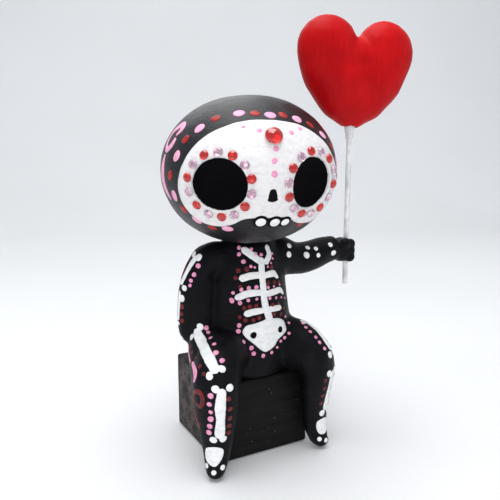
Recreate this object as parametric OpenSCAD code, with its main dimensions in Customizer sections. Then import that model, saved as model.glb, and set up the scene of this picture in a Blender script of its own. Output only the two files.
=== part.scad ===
// Seated skeleton figure of papier-mache on a wooden block, holding a heart balloon on a stick.
// Origin: centre of the block's underside. The figure faces -Y, +Z is up, lengths are millimetres.

/* [Block] */
// Side of the square wooden block
block_side = 38; // [32:1:48]
// Height of the block
block_height = 30; // [26:1:34]
// Chamfer along the block's edges
block_chamfer = 0.6; // [0.2:0.1:1.5]
// Diameter of the dowel that pins the torso to the block
dowel_d = 5; // [3:0.5:7]
// Depth of the dowel in the block
dowel_in_block = 12; // [6:1:18]

/* [Torso] */
// Height of the torso from the block's top to the neck
torso_height = 52; // [48:1:60]
// Half width of the hips
hip_half_w = 17.6; // [16:0.1:19]
// Half width of the chest
chest_half_w = 14.4; // [12:0.5:17]
// Depth of the torso as a share of its width
torso_flat = 0.87; // [0.75:0.01:1]
// Distance of the torso's axis in front of the block's centre
torso_front = 6; // [4:0.5:7]
// Thickness of the papier-mache skin on the torso
torso_wall = 2.4; // [1.5:0.1:4]

/* [Head] */
// Half width of the head
head_half_w = 31.2; // [28:0.2:34]
// Half depth of the head
head_half_d = 28.5; // [25:0.5:32]
// Half height of the head
head_half_h = 25.8; // [23:0.2:30]
// Distance of the head's centre in front of the block's centre
head_front = 10.5; // [8:0.5:13]
// Distance of the head's centre towards the figure's right
head_side = 1.8; // [0:0.2:3]
// Turn of the face towards the figure's right
head_turn = 15; // [0:1:30]
// Thickness of the papier-mache skin on the head
head_wall = 2.6; // [1.8:0.1:4]
// Thickness of the raised white face
mask_t = 0.7; // [0.5:0.1:1.2]

/* [Eyes] */
// Angle of each eye from the middle of the face
eye_lon = 30.5; // [28:0.5:34]
// Angle of the eyes below the middle of the head
eye_lat = 6; // [2:0.5:10]
// Radius of the eye openings
eye_r = 8.8; // [7:0.1:9.4]
// Depth of the eye bowls
eye_depth = 3.6; // [2:0.1:5]
// Stones around each eye
gem_count = 14; // [8:2:16]
// Diameter of the small stones
gem_d = 3.2; // [2:0.1:3.4]
// Height of the small stones
gem_h = 1.3; // [0.8:0.1:2]
// Distance from the rim of an eye to the middle of its stones
gem_margin = 1.9; // [1.8:0.1:3]
// Diameter of the forehead stone
forehead_gem_d = 6; // [4:0.1:8]
// Height of the forehead stone
forehead_gem_h = 2.6; // [1.5:0.1:3.5]
// Angle of the forehead stone above the middle of the head
forehead_gem_lat = 27.5; // [24:0.5:34]
// Angle of the forehead stone from the middle of the face
forehead_gem_lon = 3; // [-4:0.5:4]

/* [Arms and legs] */
// Thickness of the raised arm at the shoulder
arm_d = 12.8; // [10:0.2:14]
// Distance of the stick from the middle of the figure
stick_x = 44.6; // [41:0.2:50]
// Diameter of the hand that holds the stick
hand_d = 9.8; // [9:0.2:12]
// Height of the hand's middle above the ground
hand_z = 71.8; // [68:0.2:74]
// Width of the shins just below the knee
shin_w = 16.8; // [13:0.2:18]
// Length of the left thigh from hip to knee
thigh_l = 19.4; // [18:0.2:22]
// Extra length of the right thigh, which sits further out
right_out = 2.6; // [0:0.2:4]
// Angle of the left thigh outwards
left_splay = 34.4; // [30:0.2:40]
// Angle of the right thigh outwards
right_splay = 38.6; // [32:0.2:42]
// Diameter of the armature wire
wire_d = 1.6; // [1:0.1:2.4]

/* [Balloon] */
// Diameter of the stick
stick_d = 2.1; // [1.5:0.1:3]
// Length of the stick that shows below the hand
stick_tail = 9.6; // [7:0.2:20]
// Height of the heart's tip above the hand's middle
heart_lift = 47.8; // [46:0.2:60]
// Width of the heart
heart_w = 48; // [36:0.2:50]
// Height of the heart
heart_h = 40.8; // [34:0.2:46]
// Thickness of the heart
heart_t = 15.6; // [12:0.2:18]
// Thickness of the papier-mache skin on the heart
heart_wall = 1.8; // [1.2:0.1:3]
// Lean of the heart away from the head
heart_lean = 3.5; // [0:0.5:8]
// Turn of the heart's face towards the figure's right
heart_turn = 9; // [0:1:20]
// Length of the white collar under the heart
collar_l = 5.6; // [4:0.2:8]
// Diameter of the collar where it meets the heart
collar_d = 4.4; // [3.6:0.1:6]

/* [Fits] */
// Radial clearance of the stick in the hand, the collar and the heart
running_fit = 0.06; // [0.03:0.01:0.1]
// Gap between glued pieces
glue_gap = 0.15; // [0.1:0.01:0.3]

/* [Hidden] */

black = [0.05, 0.05, 0.06];
bone_white = [0.95, 0.94, 0.92];
ruby = [0.78, 0.05, 0.07];
rose = [0.96, 0.66, 0.78];
heart_red = [0.74, 0.07, 0.08];
foil = [0.72, 0.72, 0.74];
pulp = [0.78, 0.74, 0.66];

fn_ball = 16;
fn_ring = 32;
fn_true = 48;
fn_wire = 10;
fn_heart = 20;

torso_top = block_height + torso_height;
head_z = torso_top + head_half_h - 2.2;
bowl_wall = 1.2;
hip_x = 9;
hip_y = -torso_front - 2;
hand_pos = [stick_x - 2.3, -torso_front - 1, hand_z];
wrist_x = hand_pos[0] - hand_d * 0.38;
tip_z = hand_z + heart_lift;
stick_foot = hand_z - hand_d / 2 - stick_tail;
stick_in_heart = 14;
heart_axis = [stick_x, hand_pos[1], tip_z];

// ---------- shared shapes ----------

// Egg-shaped lump: place, then half sizes, turned about Z
module ball(p, r, turn = 0, fn = fn_ball)
    translate(p) rotate([0, 0, turn]) scale(r) sphere(1, $fn = fn);

// Smooth limb through a list of [place, half sizes]
module limb(stations, turn = 0, grow = 0)
    for (i = [0 : len(stations) - 2]) hull()
        for (s = [stations[i], stations[i + 1]]) ball(s[0], s[1] + grow * [1, 1, 1], turn);

// Points of an elliptical slice [z, half width, half depth]
function slice(s) = [for (k = [0 : fn_ring - 1])
    [s[1] * cos(360 * k / fn_ring), s[2] * sin(360 * k / fn_ring), s[0]]];

// Solid through a list of slices, one band at a time, so that neighbouring bands share a face
module loft(slices) {
    n = fn_ring;
    for (i = [0 : len(slices) - 2]) hull()
        polyhedron(concat(slice(slices[i]), slice(slices[i + 1])), concat(
            [[for (k = [0 : n - 1]) k], [for (k = [n - 1 : -1 : 0]) n + k]],
            [for (k = [0 : n - 1]) [k, n + k, n + (k + 1) % n, (k + 1) % n]]));
}

// Direction of a path at point i, halfway between the pieces that meet there
function along(path, i) =
    let (a = path[max(i - 1, 0)], b = path[i], c = path[min(i + 1, len(path) - 1)],
        u = b == a ? c - b : b - a, v = c == b ? b - a : c - b, w = u / norm(u) + v / norm(v))
    w / norm(w);

// Round wire swept along a path, with a ring of points across it at each bend
module wire(path, r) {
    n = fn_wire;
    rings = [for (i = [0 : len(path) - 1])
        let (w = along(path, i), s = cross(w, [0, 1, 0]), u = s / norm(s), v = cross(u, w))
        for (k = [0 : n - 1]) path[i] + r * (cos(360 * k / n) * u + sin(360 * k / n) * v)];
    last = (len(path) - 1) * n;
    sides = [for (i = [0 : len(path) - 2]) for (k = [0 : n - 1])
        let (a = i * n + k, b = i * n + (k + 1) % n) each [[a, b, b + n], [a, b + n, a + n]]];
    polyhedron(rings, concat(sides, [[for (k = [n - 1 : -1 : 0]) k], [for (k = [0 : n - 1]) last + k]]));
}

// ---------- block ----------

module block_form(grow = 0) {
    w = block_side + 2 * grow;
    h = block_height + grow;
    c = block_chamfer;
    o = w / 2;
    intersection() {
        linear_extrude(h) chamfered(o, o, c);
        translate([0, o, 0]) rotate([90, 0, 0]) linear_extrude(w)
            translate([0, h / 2]) chamfered(o, h / 2, c);
        translate([-o, 0, 0]) rotate([90, 0, 90]) linear_extrude(w)
            translate([0, h / 2]) chamfered(o, h / 2, c);
    }
}

// Rectangle with cut corners, from its half sizes
module chamfered(a, b, c)
    polygon([[-a + c, -b], [a - c, -b], [a, -b + c], [a, b - c],
        [a - c, b], [-a + c, b], [-a, b - c], [-a, -b + c]]);

module seat_block() color(black) difference() {
    block_form();
    translate([0, -torso_front, block_height - dowel_in_block])
        cylinder(h = dowel_in_block + 1, d = dowel_d + 2 * glue_gap, $fn = fn_true);
}

dowel_in_torso = 16;
module seat_dowel() color("tan")
    translate([0, -torso_front, block_height - dowel_in_block])
        cylinder(h = dowel_in_block + dowel_in_torso, d = dowel_d, $fn = fn_true);

// ---------- torso ----------

// Heights above the block's top as shares of the torso's height, with half widths
torso_profile = [[0, hip_half_w - 2], [0.06, hip_half_w - 0.8], [0.15, hip_half_w],
    [0.28, hip_half_w - 0.3], [0.42, chest_half_w + 2], [0.55, chest_half_w + 1],
    [0.7, chest_half_w + 0.1], [0.82, chest_half_w - 1.3], [0.91, chest_half_w - 3.6],
    [1, chest_half_w - 6.2]];

module torso_form(grow = 0)
    translate([0, -torso_front, block_height])
        loft([for (p = torso_profile)
            [p[0] * torso_height, p[1] + grow, (p[1] + grow) * torso_flat]]);

core_bottom = block_height + 3;
core_top = torso_top - 7;
core_neck_r = (chest_half_w - 6) * torso_flat;
core_waist_r = chest_half_w * torso_flat - torso_wall;
core_hip_r = hip_half_w * torso_flat - torso_wall - 0.6;

module core_form(grow = 0)
    translate([0, -torso_front, 0]) rotate_extrude($fn = fn_true)
        polygon([[0, core_bottom - grow], [core_hip_r - 3 + grow, core_bottom - grow],
            [core_hip_r + grow, core_bottom + 5], [core_hip_r + grow, core_bottom + 12],
            [core_waist_r + grow, core_bottom + 20], [core_waist_r + grow, core_top - 8],
            [core_neck_r + grow, core_top + grow], [0, core_top + grow]]);

module torso_core() color(foil) difference() {
    core_form();
    translate([0, -torso_front, 0])
        cylinder(h = block_height + dowel_in_torso + glue_gap, d = dowel_d + 2 * glue_gap, $fn = fn_true);
    wire_holes();
}

module torso_skin() color(black) difference() {
    torso_form();
    core_form(glue_gap);
    translate([0, -torso_front, 0])
        cylinder(h = block_height + dowel_in_torso, d = dowel_d + 2 * glue_gap, $fn = fn_true);
    wire_holes();
    head_form(glue_gap);
}

// ---------- armature ----------

shoulder_z = torso_top - 11;
neck_foot = [0, -torso_front, block_height + dowel_in_torso + 6];
neck_head = [0, -torso_front, torso_top + 12];
arm_r = arm_d / 2;
arm_steps = 8;
arm_start_x = 13;
// The raised arm thins towards the wrist while its top line stays level
function arm_thin(i) = pow(i / arm_steps, 3) * (arm_r - hand_d / 2 + 0.2);
function arm_axis(i) = let (t = i / arm_steps) [
    arm_start_x + t * (wrist_x - arm_start_x), -torso_front + 0.5 - 1.5 * t,
    shoulder_z + 0.6 + t * (hand_z - 0.8 - shoulder_z) - 1.6 * sin(180 * min(1, t / 0.8))
        + 0.8 * arm_thin(i)];
arm_points = [[-22.6, -2.6, shoulder_z - 21], [-21.2, -2.8, shoulder_z - 11],
    [-15.5, -torso_front + 2.4, shoulder_z + 0.8], [6, -torso_front + wire_d + 0.2, shoulder_z + 0.2],
    arm_axis(5), arm_axis(arm_steps) - [2, 0, 0.8]];
leg_wire_z = block_height + 8;
// The wire between the hips passes in front of the dowel
leg_wire_y = -torso_front - (dowel_d + wire_d) / 2 - 0.5;

// Point of a leg's middle plane at distance s from the hip along the thigh, at height z
function on_leg(side, s, z) =
    let (splay = side < 0 ? right_splay : left_splay,
        t = side < 0 ? s + right_out * min(1, s / thigh_l) : s)
    [side * (hip_x + t * sin(splay)), hip_y - t * cos(splay), z];

ankle_z = 10;
leg_points = [on_leg(-1, thigh_l - 0.4, ankle_z), on_leg(-1, thigh_l - 0.4, block_height + 4),
    [-hip_x, leg_wire_y, leg_wire_z], [hip_x, leg_wire_y, leg_wire_z],
    on_leg(1, thigh_l - 0.4, block_height + 4), on_leg(1, thigh_l - 0.4, ankle_z)];

module neck_wire() color("silver") translate(neck_foot)
    cylinder(h = neck_head[2] - neck_foot[2], d = wire_d, $fn = fn_true);
module arm_wire() color("silver") wire(arm_points, wire_d / 2);
module leg_wire() color("silver") wire(leg_points, wire_d / 2);
module wire_holes() {
    wire(arm_points, wire_d / 2 + glue_gap);
    wire(leg_points, wire_d / 2 + glue_gap);
    translate(neck_foot - [0, 0, glue_gap])
        cylinder(h = neck_head[2] - neck_foot[2] + 2 * glue_gap, d = wire_d + 2 * glue_gap, $fn = fn_true);
}

// ---------- arms ----------

right_arm_stations = [
    [[-12.5, -4.5, shoulder_z + 3], [6.2, 6, 6]], [[-15.8, -3.9, shoulder_z + 2], [6, 5.8, 6]],
    [[-18.4, -3.4, shoulder_z - 2], [5.8, 5.6, 5.6]], [[-20.4, -3, shoulder_z - 7], [5.5, 5.3, 5.3]],
    [[-21.6, -2.6, shoulder_z - 12], [5, 4.9, 5]], [[-22.6, -2.4, shoulder_z - 17], [4.4, 4.4, 4.4]],
    [[-23.2, -2.4, shoulder_z - 21], [3.8, 3.9, 3.8]], [[-23.4, -2.6, shoulder_z - 24], [3.3, 3.4, 3.3]],
    [[-23.2, -3, shoulder_z - 25.4], [2.9, 3, 2.9]]];
// Paper laid between the hanging arm and the body closes the gap there
arm_web = [[[-17, -4.5, shoulder_z - 7], [4, 4.5, 5]], [[-18, -5, shoulder_z - 13], [4.2, 4.6, 5]],
    [[-18.6, -5.6, shoulder_z - 21], [4.4, 4.8, 5]]];

module right_arm() color(black) difference() {
    union() {
        limb(right_arm_stations);
        limb(arm_web);
    }
    torso_form(glue_gap);
    leg_form(-1, glue_gap);
    wire_holes();
}

// The shoulder bulges where the raised arm leaves the torso
left_arm_stations = [for (i = [0 : arm_steps])
    let (bulge = max(0, 1.4 - 0.7 * i), r = arm_r - arm_thin(i) + bulge)
    [arm_axis(i) + [0, 0, bulge / 2], [r, r, r]]];

module left_arm() color(black) difference() {
    limb(left_arm_stations);
    torso_form(glue_gap);
    translate([wrist_x, -50, hand_z - 50]) cube(100);
    head_form(glue_gap);
    wire_holes();
}

knuckle_r = 2.1;
module left_hand() color(black) difference() {
    union() {
        translate(hand_pos) sphere(d = hand_d, $fn = fn_true);
        for (z = [-2.7, 0, 2.7])
            translate(hand_pos + [hand_d * 0.22, -hand_d * 0.3, z]) sphere(knuckle_r, $fn = fn_true);
        translate(hand_pos + [-0.6, -hand_d * 0.3, hand_d * 0.3]) sphere(knuckle_r + 0.4, $fn = fn_true);
    }
    translate([wrist_x + glue_gap - 100, -50, hand_z - 50]) cube(100);
    translate([stick_x, hand_pos[1], hand_z - hand_d])
        cylinder(h = 2 * hand_d, r = stick_d / 2 + running_fit, $fn = fn_true);
}

// ---------- legs ----------

shin_r = shin_w / 2;
// Each station: distance from the hip along the thigh, height, half width, half depth, half height
leg_profile = [
    [0, 40.5, shin_r + 1, 9, 10], [5, 40.6, shin_r + 0.9, 8.6, 9.8], [10, 40, shin_r + 0.7, 8.2, 9.6],
    [14.5, 38.6, shin_r + 0.4, 7.8, 8.8], [18, 36, shin_r + 0.2, 7.2, 7.8],
    [thigh_l, 32, shin_r, 6.6, 6.6], [thigh_l - 0.1, 27, shin_r - 0.3, 6, 6],
    [thigh_l - 0.5, 21, shin_r - 1.3, 5.2, 5], [thigh_l - 0.6, 14, shin_r - 2.5, 4.6, 4.6],
    [thigh_l - 0.3, 8, shin_r - 3.6, 4.1, 4.4], [thigh_l + 0.8, 4.6, shin_r - 4.3, 3.8, 3.8],
    [thigh_l + 2, 3.1, shin_r - 4.9, 3.4, 3.1]];

// The feet stay on the ground while a higher block lifts the thighs and knees
module leg_form(side, grow = 0) {
    stations = [for (p = leg_profile)
        [on_leg(side, p[0], p[1] * (p[1] < 30 ? block_height / 30 : 1)
            + (p[1] < 30 ? 0 : block_height - 30)), [p[2], p[3], p[4]]]];
    limb(stations, side * (side < 0 ? right_splay : left_splay), grow);
    if (side < 0) limb([right_hip, stations[knee]], -right_splay, grow);
}
// The right thigh swells at the hip, in front of the hanging hand
right_hip = [[-19, -8.5, block_height + 11], [6.4, 6.5, 9]];
knee = 5;

module leg(side) difference() {
    leg_form(side);
    torso_form(glue_gap);
    block_form(glue_gap);
    wire_holes();
}

module right_leg() color(black) leg(-1);
module left_leg() color(black) leg(1);

// ---------- head ----------

// Below 1 the head is fuller than an egg above and below its middle
head_fullness = 0.94;
head_pos = [-head_side, -head_front, head_z];
// Point of the head's surface at an angle from the face's middle and a height angle
function on_head(lon, lat, grow = 0) = [
    (head_half_w + grow) * sin(lon) * pow(cos(lat), head_fullness),
    -(head_half_d + grow) * cos(lon) * pow(cos(lat), head_fullness),
    (head_half_h + grow) * sin(lat)];
function head_normal(lon, lat) = let (p = on_head(lon, lat),
    n = [p[0] / pow(head_half_w, 2), p[1] / pow(head_half_d, 2), p[2] / pow(head_half_h, 2)])
    n / norm(n);

module in_head() translate(head_pos) rotate([0, 0, -head_turn]) children();

module head_form(grow = 0) in_head()
    loft([for (lat = [-84 : 14 : 84])
        [(head_half_h + grow) * sin(lat), (head_half_w + grow) * pow(cos(lat), head_fullness),
            (head_half_d + grow) * pow(cos(lat), head_fullness)]]);

// Children's Z axis along the surface's normal, Y axis up the face
module on_face(lon, lat, grow = 0) in_head() {
    n = head_normal(lon, lat);
    translate(on_head(lon, lat, grow))
        rotate([0, 0, atan2(n[0], -n[1])]) rotate([90 + asin(-n[2]), 0, 0]) children();
}

module eye_axis(side) on_face(side * eye_lon, -eye_lat) children();

bowl_sink = 0.9;
bowl_r = eye_r - 0.1;
module eye_bowl(side) eye_axis(side) translate([0, 0, -bowl_sink]) rotate_extrude($fn = fn_true)
    polygon(concat(
        [for (a = [0 : 10 : 90]) [bowl_r * sin(a), -eye_depth * cos(a)]],
        [for (a = [90 : -10 : 0])
            [(bowl_r - bowl_wall) * sin(a), -(eye_depth - bowl_wall) * cos(a)]]));

module eye_hole(side) eye_axis(side)
    translate([0, 0, -bowl_sink - eye_depth - glue_gap])
        cylinder(h = 3 * eye_depth, r = eye_r, $fn = fn_true);

module right_eye_bowl() color(black) eye_bowl(-1);
module left_eye_bowl() color(black) eye_bowl(1);

module neck_hole() translate([0, -torso_front, torso_top - 20])
    cylinder(h = 34, d = wire_d + 2 * glue_gap, $fn = fn_true);

module head_core() color(pulp) difference() {
    head_form(-head_wall - glue_gap);
    eye_hole(-1);
    eye_hole(1);
    neck_hole();
}

module head_shell() color(black) difference() {
    head_form();
    head_form(-head_wall);
    eye_hole(-1);
    eye_hole(1);
    neck_hole();
}

// Left half of the white face's outline seen from the front, as shares of the head's half sizes
face_half = [[0, 0.68], [0.25, 0.655], [0.42, 0.595], [0.585, 0.49], [0.73, 0.335], [0.835, 0.11],
    [0.87, -0.12], [0.84, -0.31], [0.765, -0.47], [0.635, -0.6], [0.5, -0.65], [0.36, -0.62],
    [0.24, -0.54], [0, -0.53]];
face_outline = concat(face_half, [for (i = [len(face_half) - 2 : -1 : 1])
    [-face_half[i][0], face_half[i][1]]]);

module face_mask() color(bone_white) difference() {
    intersection() {
        head_form(mask_t);
        in_head() rotate([90, 0, 0]) linear_extrude(2 * head_half_d)
            scale([head_half_w, head_half_h]) polygon(face_outline);
    }
    head_form(0.02);
    eye_hole(-1);
    eye_hole(1);
}

// ---------- stones ----------

// Flat-backed domed stone
module gem(d, h) rotate_extrude($fn = fn_true) polygon(concat([[0, 0], [d / 2, 0]],
    [for (a = [0 : 15 : 90]) [d / 2 * cos(a), 0.25 * h + 0.75 * h * sin(a)]]));

gem_lift = 0.1;
// Height of the rings of stones as a share of their width
ring_flat = 0.96;
// Degrees of the face per millimetre, sideways and upwards, around an eye
deg_across = 180 / PI / norm([head_half_w * cos(eye_lon), head_half_d * sin(eye_lon)]);
deg_up = 180 / PI / head_half_h;

// Every second stone around one eye from stone number first, with the ring turned by phase
module gems(side, first, phase = 0) for (i = [first : 2 : gem_count - 1]) {
    a = 360 * i / gem_count + phase;
    ring = eye_r + gem_margin;
    on_face(side * eye_lon + ring * deg_across * sin(a),
        -eye_lat + ring * ring_flat * deg_up * cos(a), mask_t)
        translate([0, 0, gem_lift]) gem(gem_d, gem_h);
}

module right_eye_red_gems() color(ruby) gems(-1, 1);
module right_eye_pink_gems() color(rose) gems(-1, 0);
module left_eye_red_gems() color(ruby) gems(1, 0, -8);
module left_eye_pink_gems() color(rose) gems(1, 1, -8);
module forehead_gem() color(ruby) on_face(forehead_gem_lon, forehead_gem_lat, mask_t)
    translate([0, 0, 2 * gem_lift]) gem(forehead_gem_d, forehead_gem_h);

// ---------- balloon ----------

module balloon_stick() color(bone_white) translate([stick_x, hand_pos[1], stick_foot])
    cylinder(h = tip_z + stick_in_heart - stick_foot, d = stick_d, $fn = fn_true);

module stick_bore(z, h) translate([stick_x, hand_pos[1], z])
    cylinder(h = h, r = stick_d / 2 + running_fit, $fn = fn_true);

collar_top = tip_z + 1.5;
module stick_collar() color(bone_white) difference() {
    translate([stick_x, hand_pos[1], collar_top - collar_l]) rotate_extrude($fn = fn_true)
        polygon([[0, 0], [stick_d / 2 + 0.35, 0], [stick_d / 2 + 0.6, collar_l * 0.45],
            [collar_d / 2, collar_l], [0, collar_l]]);
    stick_bore(collar_top - collar_l - 1, collar_l + 2);
}

heart_lobe_r = heart_w / 4;
// Half of the heart from tip to lobe: [across, up], then half sizes
heart_stations = [
    [[0, heart_h * 0.07], [heart_w * 0.06, heart_t * 0.2, heart_h * 0.07]],
    [[heart_w * 0.11, heart_h * 0.25], [heart_w * 0.175, heart_t * 0.39, heart_h * 0.18]],
    [[heart_w * 0.18, heart_h * 0.465], [heart_w * 0.27, heart_t * 0.49, heart_h * 0.24]],
    [[heart_w / 4, heart_h - heart_lobe_r], [heart_lobe_r, heart_t / 2, heart_lobe_r]]];
// Lump that fills the cleft between the lobes
heart_saddle = [[0, heart_h * 0.6], [heart_w * 0.19, heart_t * 0.44, heart_h * 0.23]];

module heart_ball(side, s, grow)
    ball([side * s[0][0], 0, s[0][1]], s[1] + grow * [1, 1, 1], 0, fn_heart);

module heart_form(grow = 0) in_heart() {
    st = heart_stations;
    for (side = [-1, 1]) for (i = [0 : 2]) hull() {
        heart_ball(side, st[i], grow);
        heart_ball(side, st[i + 1], grow);
    }
    for (i = [0 : 1]) hull() for (side = [-1, 1]) for (k = [i, i + 1])
        heart_ball(side, st[k], grow);
    heart_ball(1, heart_saddle, grow);
}

module in_heart() translate(heart_axis) rotate([0, heart_lean, -heart_turn]) children();

// Crumpled filling, one lump for each lobe, a little smaller than the hollow it fills
core_gap = glue_gap + 0.3;
module heart_core() color(pulp) difference() {
    in_heart() for (side = [-1, 1]) hull() for (s = [heart_stations[1], heart_stations[3]])
        heart_ball(side, s, -heart_wall - core_gap);
    stick_bore(tip_z, stick_in_heart + 0.5);
}

module heart_skin() color(heart_red) difference() {
    heart_form();
    heart_form(-heart_wall);
    translate([stick_x, hand_pos[1], tip_z - 5])
        cylinder(h = 5 + stick_in_heart, r = collar_d / 2 + 0.15, $fn = fn_true);
}

// ---------- build ----------

seat_block();
seat_dowel();
torso_core();
torso_skin();
neck_wire();
arm_wire();
leg_wire();
right_arm();
left_arm();
left_hand();
right_leg();
left_leg();
head_core();
head_shell();
face_mask();
right_eye_bowl();
left_eye_bowl();
forehead_gem();
right_eye_red_gems();
right_eye_pink_gems();
left_eye_red_gems();
left_eye_pink_gems();
balloon_stick();
stick_collar();
heart_core();
heart_skin();
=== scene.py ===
import math
import random

import bmesh
import bpy
from mathutils import Matrix, Vector, noise
from mathutils.bvhtree import BVHTree


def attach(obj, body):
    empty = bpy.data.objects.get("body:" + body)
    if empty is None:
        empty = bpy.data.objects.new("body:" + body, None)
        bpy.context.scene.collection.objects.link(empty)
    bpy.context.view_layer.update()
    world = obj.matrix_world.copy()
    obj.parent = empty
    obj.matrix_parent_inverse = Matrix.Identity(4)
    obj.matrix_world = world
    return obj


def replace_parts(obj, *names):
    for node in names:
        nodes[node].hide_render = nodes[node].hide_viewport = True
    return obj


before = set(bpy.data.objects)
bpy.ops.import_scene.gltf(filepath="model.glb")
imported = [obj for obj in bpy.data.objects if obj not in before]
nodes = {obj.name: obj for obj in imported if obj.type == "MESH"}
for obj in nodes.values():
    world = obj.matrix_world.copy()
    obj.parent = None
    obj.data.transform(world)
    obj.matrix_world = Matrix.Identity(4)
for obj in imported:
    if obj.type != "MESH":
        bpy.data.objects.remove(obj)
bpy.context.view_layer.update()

mm = 0.001
dice = random.Random(7)

# camera

camera = {"at": (-0.1108, -0.2106, 0.1242), "down": 11.81, "turn": -28.67, "lens": 46.08}

lensData = bpy.data.cameras.new("camera")
lensData.lens = camera["lens"]
lensData.sensor_width = 36
lensData.clip_start = 0.01
cameraObject = bpy.data.objects.new("camera", lensData)
cameraObject.location = camera["at"]
cameraObject.rotation_euler = (math.radians(90 - camera["down"]), 0, math.radians(camera["turn"]))
bpy.context.scene.collection.objects.link(cameraObject)
bpy.context.scene.camera = cameraObject


# materials

class Out:
    # one output of a shader node, which takes part in sums with numbers and other outputs
    def __init__(self, shader, socket):
        self.shader, self.socket = shader, socket

    def sums(self, operation, *terms):
        plain = all(t.socket.type == "VALUE" if isinstance(t, Out) else not isinstance(t, tuple)
                    for t in terms)
        kind = "ShaderNodeMath" if plain else "ShaderNodeVectorMath"
        if not plain:
            terms = [t if isinstance(t, (Out, tuple)) else (t,) * 3 for t in terms]
        return self.shader.node(kind, {"operation": operation}, dict(enumerate(terms)))

    def __add__(self, other):
        return self.sums("ADD", self, other)

    def __mul__(self, other):
        return self.sums("MULTIPLY", self, other)

    __radd__ = __add__
    __rmul__ = __mul__

    def between(self, low, high):
        # soft step from 0 at low to 1 at high
        return self.shader.node("ShaderNodeMapRange", {"interpolation_type": "SMOOTHSTEP"},
                                {"Value": self, "From Min": low, "From Max": high})

    def blend(self, first, second):
        # this output as the share of the second colour
        return self.shader.node("ShaderNodeMix", {"data_type": "RGBA"},
                                {0: self, 6: rgba(first), 7: rgba(second)}, 2)


def rgba(colour):
    return colour if isinstance(colour, Out) or len(colour) == 4 else (*colour, 1)


class Shader:
    def __init__(self, name):
        self.material = bpy.data.materials.new(name)
        self.material.use_nodes = True
        self.tree = self.material.node_tree
        self.tree.nodes.clear()
        self.place = self.node("ShaderNodeTexCoord", {}, {}, "Object")

    def node(self, kind, settings, inputs, output=0):
        made = self.tree.nodes.new(kind)
        for key, value in settings.items():
            setattr(made, key, value)
        for key, value in inputs.items():
            if isinstance(value, Out):
                self.tree.links.new(value.socket, made.inputs[key])
            else:
                made.inputs[key].default_value = value
        return None if output is None else Out(self, made.outputs[output])

    def cloud(self, perMetre, detail=3, stretch=(1, 1, 1), rough=0.5):
        # soft noise with a number of features per metre, drawn out where stretch is low
        return self.node("ShaderNodeTexNoise", {},
                         {"Vector": self.place * stretch, "Scale": perMetre, "Detail": detail,
                          "Roughness": rough})

    def specks(self, perMetre, size):
        # small round spots spread at random
        far = self.node("ShaderNodeTexVoronoi", {}, {"Vector": self.place, "Scale": perMetre}, "Distance")
        return far.between(size, size * 0.6)

    def finish(self, colour, roughness, height=None, depth=0.1, **fixed):
        values = {"Base Color": rgba(colour), "Roughness": roughness, **fixed}
        if height is not None:
            values["Normal"] = self.node("ShaderNodeBump", {}, {
                "Height": height, "Distance": depth * mm, "Strength": 1.0})
        surface = self.node("ShaderNodeBsdfPrincipled", {}, values)
        self.node("ShaderNodeOutputMaterial", {}, {"Surface": surface}, None)
        return self.material


def blackPaint(name, base=0.003, sheen=0.42, shine=0.12, depth=0.13):
    # dry-brushed black acrylic with long faint strokes that run round the form
    s = Shader(name)
    strokes = s.cloud(1, 4, (260, 260, 2300), 0.62)
    patches = s.cloud(150, 3)
    fine = s.cloud(2600, 2)
    dusty = (strokes * 0.7 + patches * 0.5).between(0.58, 0.86)
    colour = dusty.blend((base, base, base * 1.5), (base * 3.2, base * 3, base * 3.4))
    return s.finish(colour, sheen + dusty * 0.16 + fine * 0.06, strokes * 0.8 + fine * 0.35 + patches, depth,
                    **{"Specular IOR Level": shine})


def thickPaint(name, colour, shade, sheen=0.4, depth=0.12):
    # opaque paint laid on with a loaded brush
    s = Shader(name)
    dabs = s.cloud(520, 3, (1, 1, 1.7))
    fine = s.cloud(2400, 2)
    tone = dabs.between(0.3, 0.6)
    return s.finish(tone.blend(shade, colour), sheen + fine * 0.12, dabs + fine * 0.3, depth,
                    **{"Specular IOR Level": 0.35})


def heartPaint(settings):
    s = Shader("heartPaint")
    strokes = s.cloud(1, 4, settings["strokes"], 0.6)
    patches = s.cloud(60, 2)
    fine = s.cloud(1800, 2)
    tone = (strokes * 0.3 + patches * 0.8).between(0.35, 0.7)
    colour = tone.blend(settings["dark"], settings["light"])
    return s.finish(colour, 0.34 + strokes * 0.14 + fine * 0.05, strokes + fine * 0.3, 0.12,
                    **{"Specular IOR Level": 0.1})


def blockPaint(settings):
    # thin black paint over sawn wood, so the grain shows in the sheen; the left side is painted lighter as
    # painted light
    s = Shader("blockPaint")
    grain = s.cloud(1, 5, (90, 900, 900), 0.6)
    rings = s.cloud(1, 2, (25, 260, 260), 0.4)
    fine = s.cloud(3000, 2)
    dust = s.specks(420, 0.055)
    tone = (grain * 0.6 + rings * 0.5).between(0.42, 0.72)
    # painted light: the left side, away from the heart, is painted lighter in its grain, standing in for
    # light falling on that face
    start, end = settings["paintedLightSide"]
    paintedLightSide = s.node("ShaderNodeSeparateXYZ", {}, {0: s.place}).between(start * mm, end * mm)
    tone = tone * (0.07 + paintedLightSide * 0.93)
    colour = dust.blend(tone.blend(settings["dark"], settings["light"]), settings["dust"])
    return s.finish(colour, 0.46 + grain * 0.2, grain * 0.8 + rings * 0.5 + fine * 0.15, 0.12,
                    **{"Specular IOR Level": 0.14})


def stonePaint(name, colour, clear=0.75):
    # cast acrylic stone, clear and tinted
    s = Shader(name)
    streaks = s.cloud(900, 2)
    return s.finish(streaks.between(0.3, 0.8).blend(colour, tuple(c * 0.8 for c in colour)),
                    0.03 + streaks * 0.02, None, **{"Transmission Weight": clear, "IOR": 1.49,
                                                   "Coat Weight": 1.0, "Coat Roughness": 0.02})


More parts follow.
